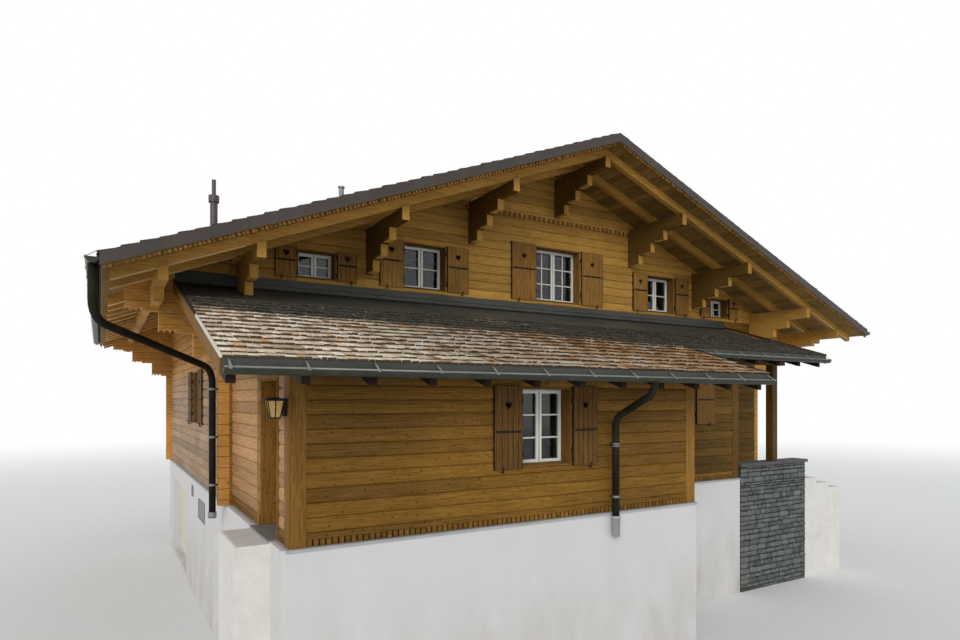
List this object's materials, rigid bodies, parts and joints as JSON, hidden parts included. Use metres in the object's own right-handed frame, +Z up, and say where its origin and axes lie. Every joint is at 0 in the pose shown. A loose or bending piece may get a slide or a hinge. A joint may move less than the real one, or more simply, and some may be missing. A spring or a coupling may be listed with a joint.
{
  "type": "alpine chalet",
  "caption": "Hollow timber chalet on a white plinth, with a low gable roof on stepped log brackets, a shingled lean-to, a hinged entrance door and a porch on a stone parapet.",
  "frame": {"origin": "underside of the cellar's slab, on the ridge line, in the plane of the front gable's outer face", "axes": "+Z up, +X to the right seen from the front gable, +Y from the front gable to the rear one"},
  "size_m": [17.8, 16.728, 9.6288],
  "materials": {
    "concrete": "cast, rough",
    "render": "lime render, matt",
    "parapet_stone": "rubble, rough",
    "step_stone": "sawn, worn",
    "floor_timber": "planed",
    "wall_timber": "oiled larch",
    "log_timber": "oiled larch",
    "trim_timber": "oiled larch",
    "shutter_timber": "stained",
    "door_timber": "stained",
    "shingles": "weathered",
    "purple_metal": "satin",
    "sheet_metal": "weathered",
    "gutter_metal": "satin",
    "pipe_metal": "satin",
    "white_paint": "white paint",
    "glass": "clear",
    "black_iron": "wrought, black",
    "cream_paint": "satin"
  },
  "bodies": {
    "house": {"cellar_floor": "concrete", "plinth_cross_walls": "render", "plinth_side_walls": "render", "plinth_lintel": "render", "porch_base": "concrete", "parapet": "parapet_stone", "parapet_cap": "parapet_stone", "porch_steps": "parapet_stone", "door_step": "step_stone", "ground_floor": "floor_timber", "upper_floor": "floor_timber", "left_wall": "wall_timber", "right_wall": "wall_timber", "rear_wall": "wall_timber", "gable_wall": "wall_timber", "gable_beam": "log_timber", "porch_wall": "wall_timber", "annex_front_wall": "wall_timber", "annex_corner_wall": "wall_timber", "annex_left_wall": "wall_timber", "door_header": "wall_timber", "annex_right_wall": "wall_timber", "recess_wall": "wall_timber", "recess_side_wall": "wall_timber", "corner_boards": "trim_timber", "corbels": "log_timber", "purlins": "log_timber", "wall_plates": "log_timber", "rafters_left": "log_timber", "rafters_right": "log_timber", "eave_boards": "trim_timber", "roof_left": "shingles", "roof_right": "shingles", "verge_metal": "purple_metal", "ridge_cap": "purple_metal", "annex_roof": "shingles", "porch_roof": "shingles", "lean_to_rafters": "log_timber", "flashing": "sheet_metal", "porch_frame": "trim_timber", "gutters": "gutter_metal", "downpipes": "pipe_metal", "window_frames": "white_paint", "window_glass": "glass", "shutters": "shutter_timber", "door_frame": "door_timber", "door_sill": "sheet_metal", "hinge_pins": "black_iron", "garage_door": "cream_paint", "lantern": "black_iron", "flue": "purple_metal", "roof_vent": "sheet_metal"},
    "door": {"entrance_door": "door_timber", "door_ironwork": "black_iron"}
  },
  "joints": [
    {"name": "entrance_door_hinge", "type": "hinge", "parent": "house", "child": "door", "pos_m": [-6.48, -3.122, 3.6], "axis": [0, 0, -1], "range_deg": [0, 90]}
  ]
}
